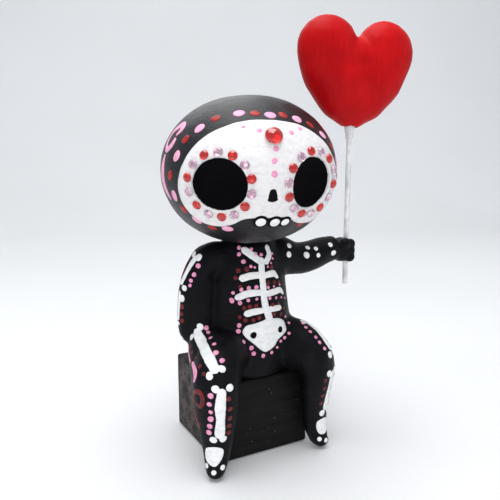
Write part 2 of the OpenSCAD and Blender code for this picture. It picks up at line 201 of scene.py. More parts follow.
def foilPaint(name, colour):
    s = Shader(name)
    crease = s.cloud(1500, 2)
    return s.finish(crease.between(0.3, 0.7).blend(colour, tuple(c * 0.6 for c in colour)),
                    0.12 + crease * 0.15, crease, 0.05, Metallic=0.9)


def rawMaterial(name, dark, light, perMetre, stretch, roughness, metallic=0.0):
    # pieces inside the figure: pulp, foil, wire and bare wood
    s = Shader(name)
    grain = s.cloud(perMetre, 4, stretch)
    return s.finish(grain.between(0.3, 0.7).blend(dark, light), roughness + grain * 0.1, grain, 0.3,
                    Metallic=metallic)


bodyBlack = blackPaint("bodyBlack")
white = thickPaint("whitePaint", (0.79, 0.775, 0.775), (0.71, 0.7, 0.705), 0.32, 0.1)
boneWhite = thickPaint("bonePaint", (0.87, 0.87, 0.86), (0.76, 0.77, 0.78), 0.42, 0.07)
pink = thickPaint("pinkPaint", (0.84, 0.34, 0.53), (0.72, 0.24, 0.42), 0.4, 0.06)
palePink = thickPaint("palePinkPaint", (0.86, 0.42, 0.6), (0.8, 0.34, 0.52), 0.4, 0.06)
darkRed = thickPaint("darkRedPaint", (0.17, 0.01, 0.012), (0.06, 0.006, 0.008), 0.42, 0.05)
red = thickPaint("redPaint", (0.4, 0.02, 0.02), (0.24, 0.014, 0.014), 0.4, 0.06)
black = blackPaint("markBlack", 0.002, 0.5, 0.08)
eyeBlack = blackPaint("eyeBlack", 0.0015, 0.7, 0.06)
redStone = stonePaint("redStone", (0.9, 0.008, 0.004))
pinkStone = stonePaint("pinkStone", (0.98, 0.76, 0.87), 0.85)
redFoil = foilPaint("redFoil", (0.95, 0.2, 0.08))
silverFoil = foilPaint("silverFoil", (0.95, 0.84, 0.9))

print("materials made")


# meshes

def addObject(name, bm, material, body, smooth=True):
    bmesh.ops.remove_doubles(bm, verts=bm.verts, dist=0.002 * mm)
    bmesh.ops.recalc_face_normals(bm, faces=bm.faces)
    mesh = bpy.data.meshes.new(name)
    bm.to_mesh(mesh)
    bm.free()
    for face in mesh.polygons:
        face.use_smooth = smooth
    mesh.materials.append(material)
    made = bpy.data.objects.new(name, mesh)
    bpy.context.scene.collection.objects.link(made)
    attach(made, body)
    return made


def applied(bm, kind, settings):
    # the mesh as one modifier leaves it
    mesh = bpy.data.meshes.new("draft")
    bm.to_mesh(mesh)
    bm.free()
    draft = bpy.data.objects.new("draft", mesh)
    bpy.context.scene.collection.objects.link(draft)
    modifier = draft.modifiers.new("step", kind)
    for key, value in settings.items():
        setattr(modifier, key, value)
    result = bmesh.new()
    result.from_object(draft, bpy.context.evaluated_depsgraph_get())
    bpy.data.objects.remove(draft)
    bpy.data.meshes.remove(mesh)
    return result


def cut(bm, other, operation="DIFFERENCE"):
    # exact boolean of two closed meshes
    mesh = bpy.data.meshes.new("cutter")
    other.to_mesh(mesh)
    other.free()
    cutter = bpy.data.objects.new("cutter", mesh)
    bpy.context.scene.collection.objects.link(cutter)
    result = applied(bm, "BOOLEAN", {"operation": operation, "object": cutter, "solver": "EXACT"})
    bpy.data.objects.remove(cutter)
    bpy.data.meshes.remove(mesh)
    return result


def nodeCopies(*names):
    bm = bmesh.new()
    for name in names:
        bm.from_mesh(nodes[name].data)
    bmesh.ops.remove_doubles(bm, verts=bm.verts, dist=0.001 * mm)
    return bm


def outerPart(bm):
    # keeps the largest connected surface and drops pockets inside
    left = set(bm.verts)
    best = set()
    while left:
        seed = left.pop()
        group, waiting = {seed}, [seed]
        while waiting:
            vert = waiting.pop()
            for link in vert.link_edges:
                other = link.other_vert(vert)
                if other not in group:
                    group.add(other)
                    waiting.append(other)
        left -= group
        if len(group) > len(best):
            best = group
    bmesh.ops.delete(bm, geom=[v for v in bm.verts if v not in best], context="VERTS")


def skinOver(bm, voxel, rounds, keepSharp=None, sharpRounds=0):
    # one continuous papier-mache skin over a group of shapes, with softened joins
    bm = applied(bm, "REMESH", {"mode": "VOXEL", "voxel_size": voxel * mm, "adaptivity": 0})
    outerPart(bm)
    soft = [v for v in bm.verts if not (keepSharp and keepSharp(v.co))]
    for i in range(rounds):
        bmesh.ops.smooth_vert(bm, verts=soft if i >= sharpRounds else bm.verts, factor=0.5,
                              use_axis_x=True, use_axis_y=True, use_axis_z=True)
    return bm


def lumps(bm, size, depth):
    # shallow unevenness of hand-laid paper, pushed along the normals
    bm.normal_update()
    moves = []
    for v in bm.verts:
        p = Vector((c / (size * mm) for c in v.co))
        moves.append(v.normal * depth * mm * (noise.noise(p) + 0.4 * noise.noise(p * 2.3)))
    for v, move in zip(bm.verts, moves):
        v.co += move


def lathe(profile, steps, matrix):
    # closed solid turned from [radius, height] points in millimetres
    bm = bmesh.new()
    verts = [bm.verts.new((r * mm, 0, z * mm)) for r, z in profile]
    edges = [bm.edges.new(pair) for pair in zip(verts, verts[1:])]
    bmesh.ops.spin(bm, geom=verts + edges, axis=(0, 0, 1), cent=(0, 0, 0), angle=2 * math.pi,
                   steps=steps, use_merge=True)
    bmesh.ops.remove_doubles(bm, verts=bm.verts, dist=0.002 * mm)
    bmesh.ops.recalc_face_normals(bm, faces=bm.faces)
    bmesh.ops.transform(bm, matrix=matrix, verts=bm.verts)
    return bm


def joined(parts):
    whole = bmesh.new()
    mesh = bpy.data.meshes.new("part")
    for part in parts:
        part.to_mesh(mesh)
        part.free()
        whole.from_mesh(mesh)
    bpy.data.meshes.remove(mesh)
    return whole


def curveThrough(points, steps, closed=False):
    # smooth curve through points of any dimension, steps samples to each span
    n = len(points)
    spans = n if closed else n - 1
    out = []
    for i in range(spans):
        a, b, c, d = (Vector(points[(i + k) % n] if closed else points[min(max(i + k, 0), n - 1)])
                      for k in (-1, 0, 1, 2))
        for k in range(steps):
            t = k / steps
            out.append(0.5 * ((2 * b) + (c - a) * t + (2 * a - 5 * b + 4 * c - d) * t * t
                              + (3 * b - a - 3 * c + d) * t ** 3))
    return out if closed else out + [Vector(points[-1])]


# wooden block

# the x range at the end, in millimetres, is where the block's left side is painted lighter as painted light
block = {"side": 38.0, "height": 30.0, "edge": 0.9, "cuts": 24, "longEdge": 10, "wobble": 0.07, "waves": 130,
         "plainFoot": 0.3, "dark": (0.003, 0.003, 0.0035), "light": (0.1, 0.075, 0.073),
         "dust": (0.3, 0.3, 0.3), "paintedLightSide": (-18.3, -18.9)}

bm = bmesh.new()
bmesh.ops.create_cube(bm, size=1, matrix=Matrix.Diagonal((block["side"] * mm, block["side"] * mm,
                                                          block["height"] * mm, 1)))
bmesh.ops.translate(bm, verts=bm.verts, vec=(0, 0, block["height"] * mm / 2))
bmesh.ops.bevel(bm, geom=bm.edges, offset=block["edge"] * mm, segments=4, profile=0.5, affect="EDGES",
                material=-1)
bmesh.ops.subdivide_edges(bm, edges=[e for e in bm.edges if e.calc_length() > block["longEdge"] * mm],
                          cuts=block["cuts"], use_grid_fill=True)
for v in bm.verts:
    if v.co.z > block["plainFoot"] * mm:
        lift = Vector((noise.noise(v.co * block["waves"] + Vector((k * 9, 0, 0))) for k in range(3)))
        v.co += lift * block["wobble"] * mm
        v.co.z = min(v.co.z, block["height"] * mm)
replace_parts(addObject("seatBlock", bm, blockPaint(block), "figure"), "seat_block")
print("block made")


# black body: torso, arms, hand and legs in one skin

body = {"voxel": 0.42, "rounds": 34, "handFrom": 37.0, "handRounds": 6, "handAt": 71.8,
        "stickAt": (44.6, -7.0), "bore": 1.11, "boreEnds": (58, 86), "plug": (1.5, 3.8), "axis": -6.0,
        "filling": ((0, 30.05), (6, 30.05), (6, 46), (4, 70), (4, 81.5), (0, 81.5)),
        "seatHalf": 19.3, "seatFrom": 29, "seatAt": 30.02, "lumpSize": 6.0, "lumpDepth": 0.16}

stickLine = Matrix.Translation((body["stickAt"][0] * mm, body["stickAt"][1] * mm, 0))
spineLine = Matrix.Translation((0, body["axis"] * mm, 0))
plugRadius, plugHalf = body["plug"]
plugLow, plugHigh = body["handAt"] - plugHalf, body["handAt"] + plugHalf
boreLow, boreHigh = body["boreEnds"]
# the filling and the plug close the hollows, so that only the outside is left as a skin
bm = joined([
    nodeCopies("torso_skin", "right_arm", "left_arm", "left_hand", "right_leg", "left_leg"),
    lathe(body["filling"], 24, spineLine),
    lathe([[0, plugLow], [plugRadius, plugLow], [plugRadius, plugHigh], [0, plugHigh]], 16, stickLine)])
bm = skinOver(bm, body["voxel"], body["rounds"], lambda co: co.x > body["handFrom"] * mm, body["handRounds"])
lumps(bm, body["lumpSize"], body["lumpDepth"])
bm = cut(bm, lathe([[0, boreLow], [body["bore"], boreLow], [body["bore"], boreHigh], [0, boreHigh]], 40,
                   stickLine))
for v in bm.verts:
    # nothing sinks into the top of the block
    overBlock = max(abs(v.co.x), abs(v.co.y)) < body["seatHalf"] * mm
    if overBlock and body["seatFrom"] * mm < v.co.z < body["seatAt"] * mm:
        v.co.z = body["seatAt"] * mm
bodySkin = addObject("bodySkin", bm, bodyBlack, "figure")
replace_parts(bodySkin, "torso_skin", "right_arm", "left_arm", "left_hand", "right_leg", "left_leg")
print("body made", len(bodySkin.data.polygons))


# head

head = {"at": (-1.8, -10.5, 105.6), "half": (31.2, 28.5, 25.8), "turn": -15, "fullness": 0.94,
        "eyes": ((-30.5, -6), (30.5, -6)), "eyeRadius": 8.75, "eyeWide": 1.07, "sunk": 0.9, "depth": 3.6,
        "cutterTop": 7, "bowlPaint": (-8, -0.4), "voxel": 0.5, "rounds": 6, "lumpSize": 9.0,
        "lumpDepth": 0.14}

headFrame = (Matrix.Translation([a * mm for a in head["at"]])
             @ Matrix.Rotation(math.radians(head["turn"]), 4, "Z"))


def headPoint(lon, lat, grow=0.0):
    # on the head's surface, in the head's own frame, from angles in degrees
    lon, lat = math.radians(lon), math.radians(lat)
    wide = max(0.0, math.cos(lat)) ** head["fullness"]
    a, b, c = ((h + grow) * mm for h in head["half"])
    return Vector((a * math.sin(lon) * wide, -b * math.cos(lon) * wide, c * math.sin(lat)))


def headNormal(lon, lat):
    p = headPoint(lon, lat)
    return Vector((p[i] / head["half"][i] ** 2 for i in range(3))).normalized()


def faceFrame(lon, lat, grow=0.0):
    # Z out of the head, Y up the face
    n = headNormal(lon, lat)
    across = Vector((0, 0, 1)).cross(n).normalized()
    turn = Matrix((across, n.cross(across), n)).transposed().to_4x4()
    return headFrame @ Matrix.Translation(headPoint(lon, lat, grow)) @ turn


def headSolid(grow):
    bm = bmesh.new()
    bmesh.ops.create_uvsphere(bm, u_segments=144, v_segments=80, radius=1)
    for v in bm.verts:
        lat = math.degrees(math.asin(max(-1, min(1, v.co.z))))
        v.co = headPoint(math.degrees(math.atan2(v.co.x, -v.co.y)), lat, grow)
    bmesh.ops.transform(bm, matrix=headFrame, verts=bm.verts)
    return bm


def eyeCutter(eye, radius):
    wide = head["eyeWide"] if eye[0] < 0 else 1
    low = -head["sunk"]
    bowl = [[radius * math.sin(math.radians(a)), low - head["depth"] * math.cos(math.radians(a))]
            for a in range(0, 91, 6)]
    top = head["cutterTop"]
    return lathe(bowl + [[radius, top], [0, top]], 72, faceFrame(*eye) @ Matrix.Diagonal((wide, 1, 1, 1)))


bm = headSolid(0.0)
for eye in head["eyes"]:
    bm = cut(bm, eyeCutter(eye, head["eyeRadius"]))
bm = skinOver(bm, head["voxel"], head["rounds"])
lumps(bm, head["lumpSize"], head["lumpDepth"])
headBlack = blackPaint("headBlack", 0.005, 0.36, 0.38, 0.3)
headSkin = addObject("headSkin", bm, headBlack, "figure")
headSkin.data.materials.append(eyeBlack)
bowlDeep, bowlRim = head["bowlPaint"]
for eye in head["eyes"]:
    # duller black down inside the bowl
    intoEye = faceFrame(*eye).inverted()
    for polygon in headSkin.data.polygons:
        spot = intoEye @ polygon.center
        inBowl = spot.xy.length < head["eyeRadius"] * head["eyeWide"] * mm
        if inBowl and bowlDeep * mm < spot.z < bowlRim * mm:
            polygon.material_index = 1
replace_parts(headSkin, "head_shell", "right_eye_bowl", "left_eye_bowl")
print("head made", len(headSkin.data.polygons))


# raised white face

face = {"half": ((0, 0.68), (0.25, 0.655), (0.42, 0.595), (0.585, 0.49), (0.73, 0.335), (0.835, 0.11),
                 (0.87, -0.12), (0.84, -0.31), (0.765, -0.47), (0.635, -0.6), (0.5, -0.65), (0.36, -0.62),
                 (0.24, -0.54), (0.12, -0.525), (0, -0.53)),
        "proud": 0.75, "under": -0.7, "cutterReach": 45, "voxel": 0.32, "rounds": 6, "lumpSize": 5.0,
        "lumpDepth": 0.14}

rim = curveThrough(face["half"] + tuple((-x, z) for x, z in face["half"][-2:0:-1]), 5, closed=True)
bm = bmesh.new()
reach = face["cutterReach"] * mm
sheet = bm.faces.new([bm.verts.new((x * head["half"][0] * mm, -reach, z * head["half"][2] * mm))
                      for x, z in rim])
grown = bmesh.ops.extrude_face_region(bm, geom=[sheet])
bmesh.ops.translate(bm, vec=(0, reach, 0),
                    verts=[v for v in grown["geom"] if isinstance(v, bmesh.types.BMVert)])
bmesh.ops.recalc_face_normals(bm, faces=bm.faces)
bmesh.ops.transform(bm, matrix=headFrame, verts=bm.verts)
bm = cut(headSolid(face["proud"]), bm, "INTERSECT")
bm = cut(bm, headSolid(face["under"]))
for eye in head["eyes"]:
    bm = cut(bm, eyeCutter(eye, head["eyeRadius"]))
bm = skinOver(bm, face["voxel"], face["rounds"])
lumps(bm, face["lumpSize"], face["lumpDepth"])
faceSkin = addObject("faceMask", bm, white, "figure")
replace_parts(faceSkin, "face_mask")
print("face made", len(faceSkin.data.polygons))


# stones

stones = {"ring": 10.65, "flat": 0.96, "count": 14, "width": 3.2, "height": 1.35, "lift": 0.78,
          "bigWidth": 6.0, "bigHeight": 2.7, "big": (3, 27.5), "phases": (0, -8), "redFirst": (1, 0),
          "askew": 5}


def stoneParts(width, height, matrix):
    # domed stone with a bevelled girdle, on a shallow foil cup
    r = width / 2
    dome = [[r * math.cos(math.radians(a)), height * (0.3 + 0.7 * math.sin(math.radians(a)))]
            for a in range(0, 91, 15)]
    stone = lathe([[0, 0.12], [r * 0.72, 0.12], [r * 0.97, height * 0.22]] + dome, 24, matrix)
    cup = lathe([[0, 0], [r * 0.8, 0], [r * 0.93, height * 0.16], [r * 0.68, 0.1], [0, 0.1]], 12, matrix)
    return stone, cup


def aroundEye(side, index):
    # place of one stone in the ring of an eye
    lon, lat = head["eyes"][side]
    a = math.radians(360 * index / stones["count"] + stones["phases"][side])
    w, d, h = head["half"]
    wide = math.hypot(w * math.cos(math.radians(lon)), d * math.sin(math.radians(lon)))
    across = math.degrees(1 / wide)
    sign = 1 if side else -1
    return (sign * (abs(lon) + stones["ring"] * across * math.sin(a)),
            lat + stones["ring"] * stones["flat"] * math.degrees(1 / h) * math.cos(a))


def addStones(name, places, width, height, lift, stoneMaterial, foilMaterial, node):
    # each stone sits a little askew, as glued by hand
    askew = stones["askew"]
    parts = [stoneParts(width, height, faceFrame(*place, lift)
                        @ Matrix.Rotation(math.radians(dice.uniform(-askew, askew)), 4, "X")
                        @ Matrix.Rotation(math.radians(dice.uniform(-askew, askew)), 4, "Y"))
             for place in places]
    made = addObject(name, joined([p[0] for p in parts]), stoneMaterial, "figure")
    addObject(name + "Foil", joined([p[1] for p in parts]), foilMaterial, "figure", smooth=False)
    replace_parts(made, node)


for side, eyeName in enumerate(("right", "left")):
    for colour, first in (("red", stones["redFirst"][side]), ("pink", 1 - stones["redFirst"][side])):
        addStones(f"{eyeName}{colour.title()}Stones",
                  [aroundEye(side, i) for i in range(first, stones["count"], 2)],
                  stones["width"], stones["height"], stones["lift"],
                  redStone if colour == "red" else pinkStone, redFoil if colour == "red" else silverFoil,
                  f"{eyeName}_eye_{colour}_gems")
addStones("foreheadStone", [stones["big"]], stones["bigWidth"], stones["bigHeight"], stones["lift"],
          redStone, redFoil, "forehead_gem")
print("stones made")


# balloon: stick, collar and heart

stick = {"radius": 1.05, "foot": 57.3, "top": 133.6, "footShare": 0.86, "footRise": 0.25, "wobble": 0.02,
         "waves": 700, "rows": 150, "dark": (0.56, 0.56, 0.56), "light": (0.88, 0.87, 0.86)}

bm = bmesh.new()
bmesh.ops.create_circle(bm, cap_ends=True, cap_tris=False, segments=28,
                        radius=stick["radius"] * stick["footShare"] * mm)
endFaces = bm.faces[:]
rise = (stick["top"] - stick["foot"]) / stick["rows"]
for k in range(stick["rows"] + 1):
    step = stick["footRise"] if k == 0 else rise
    grown = bmesh.ops.extrude_face_region(bm, geom=endFaces)
    verts = [v for v in grown["geom"] if isinstance(v, bmesh.types.BMVert)]
    bmesh.ops.translate(bm, vec=(0, 0, step * mm), verts=verts)
    if k:
        bmesh.ops.delete(bm, geom=endFaces, context="FACES_ONLY")
    endFaces = [f for f in grown["geom"] if isinstance(f, bmesh.types.BMFace)]
    for v in verts:
        out = Vector((v.co.x, v.co.y, 0)).normalized()
        size = stick["radius"] + stick["wobble"] * (noise.noise(v.co * stick["waves"]) - 1)
        v.co = out * size * mm + Vector((0, 0, v.co.z))
bmesh.ops.transform(bm, matrix=stickLine @ Matrix.Translation((0, 0, stick["foot"] * mm)), verts=bm.verts)
s = Shader("stickPaint")
fibres = s.cloud(1, 3, (2500, 2500, 220))
stains = s.cloud(260, 3)
tone = (fibres * 0.6 + stains * 0.6).between(0.42, 0.75)
stickPaint = s.finish(tone.blend(stick["dark"], stick["light"]), 0.42 + fibres * 0.2, fibres + stains, 0.1)
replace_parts(addObject("balloonStick", bm, stickPaint, "stick"), "balloon_stick")

collar = {"low": 115.5, "length": 5.6, "bore": 1.12, "roughFrom": 1.2, "rough": 0.14, "waves": 900,
          "profile": ((1.32, 0), (1.5, 0.5), (1.46, 1.3), (1.72, 2.3), (1.8, 3.2), (2.05, 4.2), (2.15, 5.6))}

bm = lathe([(collar["bore"], 0), *collar["profile"], (collar["bore"], collar["length"]), (collar["bore"], 0)],
           36, stickLine @ Matrix.Translation((0, 0, collar["low"] * mm)))
for v in bm.verts:
    out = v.co - Vector((stickLine.translation.x, stickLine.translation.y, v.co.z))
    if out.length > collar["roughFrom"] * mm:
        v.co += out.normalized() * collar["rough"] * mm * noise.noise(v.co * collar["waves"])
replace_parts(addObject("stickCollar", bm, white, "balloon"), "stick_collar")

heart = {"voxel": 0.5, "rounds": 16, "lumpSize": 9.0, "lumpDepth": 0.2, "swell": 0.3, "tipAt": 119.6,
         "point": 1.3, "pointReach": 7, "pinch": 0.05, "pinchAt": 15, "pinchReach": 5,
         "strokes": (900, 900, 90), "dark": (0.4, 0.002, 0.004), "light": (0.54, 0.005, 0.007)}

bm = skinOver(nodeCopies("heart_skin"), heart["voxel"], heart["rounds"])
bm.normal_update()
for v in bm.verts:
    v.co += v.normal * heart["swell"] * mm
tip = stickLine.translation + Vector((0, 0, heart["tipAt"] * mm))
for v in bm.verts:
    # straighter flanks and a sharper tip
    out, rise = (v.co - tip).xy.length / mm, (v.co.z - tip.z) / mm
    band = math.exp(-((rise - heart["pinchAt"]) / heart["pinchReach"]) ** 2)
    v.co.x -= (v.co.x - tip.x) * heart["pinch"] * band
    reach = heart["pointReach"]
    v.co.z -= heart["point"] * mm * max(0, 1 - out / reach) * max(0, 1 - rise / reach)
lumps(bm, heart["lumpSize"], heart["lumpDepth"])
heartSkin = addObject("heartSkin", bm, heartPaint(heart), "balloon")
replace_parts(heartSkin, "heart_skin")
print("balloon made", len(heartSkin.data.polygons))


# painted marks

paints = {"bone": boneWhite, "pink": pink, "palePink": palePink, "darkRed": darkRed, "red": red,
          "black": black}
layers = {name: bmesh.new() for name in paints}
paintEdge = {"tuck": -0.05, "dotBack": -0.15, "blobBack": -0.3}  # how far a mark reaches into the skin


class Canvas:
    # finds places on a skin and lays thin raised paint there
    def __init__(self, *skins):
        bm = bmesh.new()
        for skin in skins:
            bm.from_mesh(skin.data)
        self.tree = BVHTree.FromBMesh(bm)
        bm.free()

    def seenFrom(self, azimuth, height):
        # spots are millimetres across and up, looking at the figure from this side and height
        a, e = math.radians(azimuth), math.radians(height)
        out = Vector((math.sin(a) * math.cos(e), -math.cos(a) * math.cos(e), math.sin(e)))
        across = Vector((math.cos(a), math.sin(a), 0))
        up = out.cross(across)
        return lambda u, v: self.tree.ray_cast((across * u + up * v + out * 300) * mm, -out)[:2]

    def onHead(self, lon, lat):
        n = headFrame.to_3x3() @ headNormal(lon, lat)
        return self.tree.ray_cast(headFrame @ headPoint(lon, lat, 6), -n)[:2]

    def touch(self, co, lift):
        place, normal = self.tree.find_nearest(co)[:2]
        return place + normal * lift * mm


def pad(canvas, layer, rim, rings, under):
    # closed patch: the rim is drawn in towards the middle, ring by ring
    bm = layers[layer]
    middle = sum(rim, Vector()) / len(rim)
    loops = [[bm.verts.new(canvas.touch(middle + (p - middle) * share, lift)) for p in rim]
             for share, lift in rings[:-1]]
    caps = [bm.verts.new(canvas.touch(middle, rings[-1][1])), bm.verts.new(canvas.touch(middle, under))]
    n = len(rim)
    for k in range(n):
        j = (k + 1) % n
        for outer, inner in zip(loops, loops[1:]):
            bm.faces.new((outer[k], outer[j], inner[j], inner[k]))
        bm.faces.new((loops[-1][k], loops[-1][j], caps[0]))
        bm.faces.new((loops[0][j], loops[0][k], caps[1]))


def dot(canvas, layer, place, radius, height=0.18, base=0.0, long=1.0, angle=0.0, points=12):
    # dab of paint from the end of a stick, never quite round
    co, normal = place
    if co is None:
        return
    across = (normal.orthogonal() if abs(normal.z) > 0.95 else Vector((0, 0, 1)).cross(normal)).normalized()
    up = normal.cross(across)
    lean, shift, ripple = math.radians(angle), dice.uniform(0, 6), dice.uniform(0.03, 0.08)
    rim = []
    for k in range(points):
        a = 2 * math.pi * k / points
        r = radius * (1 + ripple * math.sin(2 * a + shift) + 0.03 * math.sin(3 * a + 2 * shift)) * mm
        x, y = r * long * math.cos(a), r * math.sin(a)
        rim.append(co + across * (x * math.cos(lean) - y * math.sin(lean))
                   + up * (x * math.sin(lean) + y * math.cos(lean)))
    pad(canvas, layer, rim, [(1, base + paintEdge["tuck"]), (0.88, base + 0.6 * height),
                             (0.55, base + 0.95 * height), (0, base + height)], paintEdge["dotBack"])


def blob(canvas, layer, look, outline, height=0.2):
    rim = [look(*p)[0] for p in curveThrough(outline, 4, closed=True)]
    pad(canvas, layer, rim, [(1, paintEdge["tuck"]), (0.95, 0.7 * height), (0.82, height),
                             (0.55, height * 1.05), (0.28, height), (0, height)], paintEdge["blobBack"])


def stroke(canvas, layer, look, spots, height=0.18, step=0.4):
    # brush stroke through (across, up, half width) spots, with round ends; a closed ribbon
    bm = layers[layer]
    spots = [Vector(p) for p in spots]
    ends = [(spots[a] - spots[b]).xy.normalized() * spots[a][2] for a, b in ((0, 1), (-1, -2))]
    spots = [spots[0] + ends[0].to_3d(), *spots, spots[-1] + ends[1].to_3d()]
    fine = curveThrough(spots, 12)
    run = [0.0]
    for a, b in zip(fine, fine[1:]):
        run.append(run[-1] + (b - a).xy.length)
    count = max(6, round(run[-1] / step))
    line, k = [], 0
    for i in range(count + 1):
        want = run[-1] * i / count
        while k < len(run) - 2 and run[k + 1] < want:
            k += 1
        share = (want - run[k]) / max(1e-6, run[k + 1] - run[k])
        line.append((fine[k].lerp(fine[k + 1], min(1, share)), want))
    places = [look(p[0], p[1]) for p, want in line]
    kept = [i for i in range(count + 1) if places[i][0] is not None]
    wander = dice.uniform(0, 50)
    rows = []
    for i in kept:
        co, normal = places[i]
        before, after = places[max(kept[0], i - 1)][0] or co, places[min(kept[-1], i + 1)][0] or co
        side = normal.cross(after - before).normalized()
        half = line[i][0][2]
        reach = min(1.0, min(line[i][1], run[-1] - line[i][1]) / max(half, 1e-6))
        unsteady = 1 + 0.09 * noise.noise((wander + i * 0.35, 0, 0))
        half *= math.sqrt(max(0.0, 1 - (1 - reach) ** 2)) * unsteady
        flat = [bm.verts.new(canvas.touch(co + side * half * x * mm,
                                          lift * height if lift > 0 else paintEdge["tuck"]))
                for x, lift in ((-1, 0), (-0.84, 0.6), (-0.45, 0.95), (0, 1), (0.45, 0.95), (0.84, 0.6),
                                (1, 0))]
        rows.append(flat)
    for a, b in zip(rows, rows[1:]):
        for x in range(6):
            bm.faces.new((a[x], b[x], b[x + 1], a[x + 1]))
        bm.faces.new((a[6], b[6], b[0], a[0]))
    for end in (rows[0], rows[-1][::-1]):
        bm.faces.new(end)


def dots(canvas, layer, look, spots, radius, **more):
    # spots are (across, up) or (across, up, own radius)
    for spot in spots:
        dot(canvas, layer, look(spot[0], spot[1]), spot[2] if len(spot) > 2 else radius, **more)


skin = Canvas(bodySkin)
front = skin.seenFrom(0, 0)

ribcage = {
    "bones": (((-5.2, 77.3, 1.4), (-2.9, 75.3, 1.4), (-0.6, 73.4, 1.3)),
              ((3.5, 77.6, 1.2), (3.7, 75.3, 1.2), (1.8, 73.2, 1.2)),
              ((-0.2, 73.6, 1.3), (-0.6, 69.7, 1.3), (-0.4, 63.3, 1.3), (0, 58, 1.4), (1.4, 53, 1.6)),
              ((-7.4, 68, 1.35), (-4.9, 68.7, 1.4), (-1.4, 68.8, 1.2)),
              ((0.8, 68.5, 1.2), (4.4, 68.6, 1.3), (6.2, 67, 0.7)),
              ((-9.2, 61.2, 1.25), (-6, 62.5, 1.4), (-1.4, 62.5, 1.2)),
              ((0.6, 61.8, 1.2), (4.3, 62, 1.3), (7.4, 62, 1.1), (9, 60.4, 0.6)),
              ((-6.8, 55.3, 1.25), (-4.6, 55.8, 1.3), (-1.2, 56, 1.1)),
              ((2.2, 56, 1.2), (6.4, 55.7, 1.15))),
    "pelvis": ((-7.4, 51), (-4.9, 51.6), (-1.7, 52.3), (0.7, 53), (2.6, 52.6), (6, 52), (8.7, 50.2),
               (9.3, 47.4), (7.3, 45.4), (4.8, 44), (3, 42), (-0.4, 40.6), (-2.7, 41.7), (-4.3, 43.3),
               (-5.8, 44.7), (-7.8, 46.6), (-8.9, 48.7)),
    "holes": ((-5.2, 47.5), (6.1, 47.7)),
    "pink": ((-6.9, 78.3, 0.85), (-7.4, 76.1, 0.85), (-6.6, 73.7, 0.9), (-4.4, 72, 0.65), (-3.1, 71.6, 0.5),
             (-3.1, 77.8, 0.65), (-1.9, 76.2), (0.2, 75.7), (5.3, 75.4, 0.6), (5, 73.8, 0.55),
             (3.8, 72.4, 0.45), (2.1, 71.3, 0.45),
             (-10.7, 62.7), (-8.2, 63.9, 0.8), (-5.8, 64.5, 0.8), (-3.1, 64.6, 0.85), (1.6, 64, 0.65),
             (4.2, 64, 0.5), (7.2, 64, 0.45), (-11.2, 59.9, 1.05), (-8.9, 59.2, 0.9), (-6.2, 60.1),
             (-3.1, 60.3, 0.6), (2.1, 60), (5.1, 59.6, 0.6), (8, 59.1, 0.5), (10.3, 58.2, 0.45),
             (-9.6, 51.1, 0.9), (-10.1, 49.1, 0.95), (-9.1, 45.7, 0.85), (-6.1, 42.9, 0.95),
             (-5.3, 40.7, 0.9), (-1.7, 39.4, 0.85), (1.9, 40, 0.7), (4.4, 41.4, 0.6), (6.1, 43.4, 0.6),
             (7.7, 44.5, 0.65), (9.4, 46, 0.65), (11, 49, 0.65), (9.7, 51.5, 0.6)),
    "darkRed": ((-8.6, 70.6, 0.95), (-5.9, 71.2, 1), (-9.6, 68), (-8.5, 65, 0.75), (3.8, 71),
                (1.6, 65.7), (4.5, 65.5), (6.8, 64.9, 0.75), (-7.7, 57.3), (-5.8, 57.8), (-3.5, 57.9),
                (-9.3, 54.1, 0.75), (-7.6, 53), (-4.9, 52.9), (-2.7, 53.5), (3.2, 57.3), (6.1, 57.3, 0.7),
                (3.7, 53.8), (7, 53.2, 0.8), (8.9, 54.9, 0.6)),
    "behind": {"count": 7, "top": 73, "step": 4.2}}

for bone in ribcage["bones"]:
    stroke(skin, "bone", front, bone)
blob(skin, "bone", front, ribcage["pelvis"])
dots(skin, "black", front, ribcage["holes"], 1.25, base=0.2, height=0.1)
dots(skin, "pink", front, ribcage["pink"], 0.72)
dots(skin, "darkRed", front, ribcage["darkRed"], 0.87)
behind = skin.seenFrom(180, 0)
for k in range(ribcage["behind"]["count"]):
    z = ribcage["behind"]["top"] - ribcage["behind"]["step"] * k
    stroke(skin, "bone", behind, ((-1.7, z, 0.9), (0, z + 0.3, 1), (1.7, z, 0.9)))
    dots(skin, "pink", behind, ((-4.2, z - 0.4), (4.2, z - 0.4)), 0.6)

armMarks = {
    "bones": (((-10.9, 70.2, 1.1), (-12.4, 67.8, 1.15), (-13.6, 65.4, 1), (-15.7, 61.3, 1.1)),
              ((-16.5, 57.2, 0.9), (-16.8, 52.4, 0.85), (-17.2, 47.9, 0.85))),
    "knobs": ((-9.5, 70.6, 1.43), (-11.9, 71.6, 1.25), (-14.3, 59.3, 1.2), (-15.3, 55.4, 1.38),
              (-17.2, 46, 0.9), (-16.1, 40.6, 0.85)),
    "redLine": ((-13.6, 69.7, 0.45), (-15.3, 66.3, 0.6), (-16.2, 62.9, 0.4)),
    "pink": ((-9.3, 67.6, 1), (-10.6, 64.4, 0.9), (-11.7, 62.2, 0.8), (-12, 60.4, 0.7)),
    "darkRed": ((-15.2, 52.4, 1), (-15.5, 49.8), (-15.3, 47.2)),
    "leftDots": ((15, 76.7, 1.15), (14, 73.7, 1.25), (24, 74.9, 1), (27.3, 74.3), (22.5, 72.4, 1.4),
                 (27.8, 71.8), (34, 75.2, 1.05), (35.1, 71.9, 1.25), (46, 75.2, 0.55), (46.9, 72.8, 0.6),
                 (46.5, 70, 0.6))}

